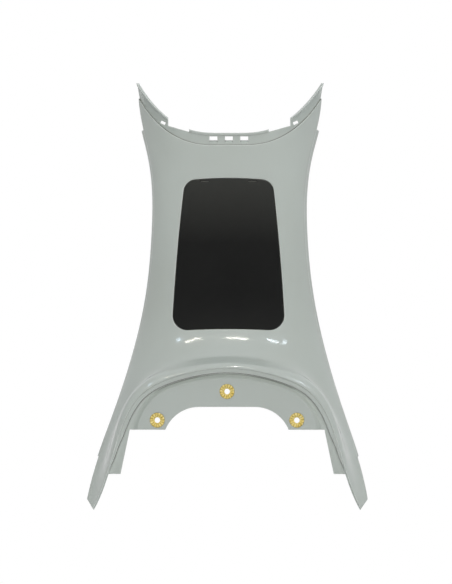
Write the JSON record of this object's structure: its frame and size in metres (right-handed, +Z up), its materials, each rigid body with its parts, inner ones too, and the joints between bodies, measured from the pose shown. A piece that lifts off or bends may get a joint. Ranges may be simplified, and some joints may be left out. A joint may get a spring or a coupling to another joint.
{
  "type": "scooter center cover",
  "caption": "Hourglass moulded scooter cover with a clip-in black access lid, clip slots at the top and bushed screw holes in an arched plate at its foot.",
  "frame": {"origin": "axis of the middle bush at the front face of the fixing plate", "axes": "+X to the right seen from the front, +Y back into the cover, +Z up along the cover"},
  "size_m": [0.3234, 0.1011, 0.4925],
  "materials": {
    "cover_plastic": "satin light grey primer coat on moulded plastic",
    "lid_plastic": "fine-grained black moulding",
    "bush_metal": "yellow zinc plating"
  },
  "bodies": {
    "root": {"cover_shell": "cover_plastic", "access_lid": "lid_plastic", "left_bush": "bush_metal", "center_bush": "bush_metal", "right_bush": "bush_metal"}
  },
  "joints": []
}
